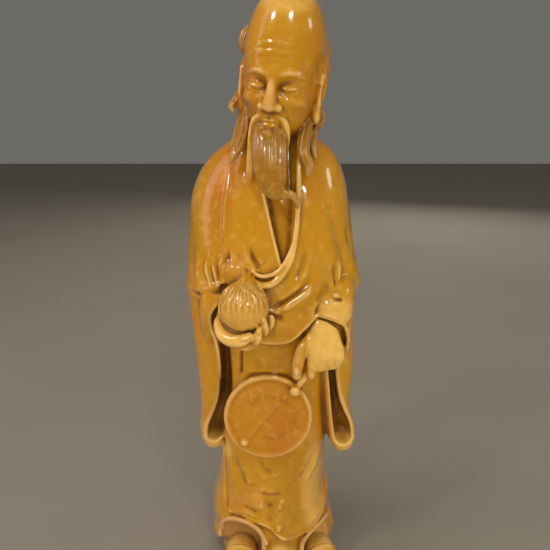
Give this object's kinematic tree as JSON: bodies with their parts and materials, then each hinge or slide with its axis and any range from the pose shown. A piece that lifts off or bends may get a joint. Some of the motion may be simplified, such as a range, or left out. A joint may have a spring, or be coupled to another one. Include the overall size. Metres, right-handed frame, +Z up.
{
  "type": "chinese elder figurine",
  "caption": "Standing glazed stoneware figurine of a bald, bearded elder in a long robe, holding a ribbed fruit and a round fan; stands on its flat underside.",
  "frame": {"origin": "centre of the flat underside that the figurine stands on, below the middle of the robe", "axes": "+Z up, the figure looks along -Y, +X at its left hand, the hand that holds the fan"},
  "size_m": [0.096, 0.0872, 0.3257],
  "materials": {
    "ochre_glaze": "glossy ochre lead glaze, darker where it pools and paler on thin edges"
  },
  "bodies": {
    "root": {"elder_figurine": "ochre_glaze"}
  },
  "joints": []
}
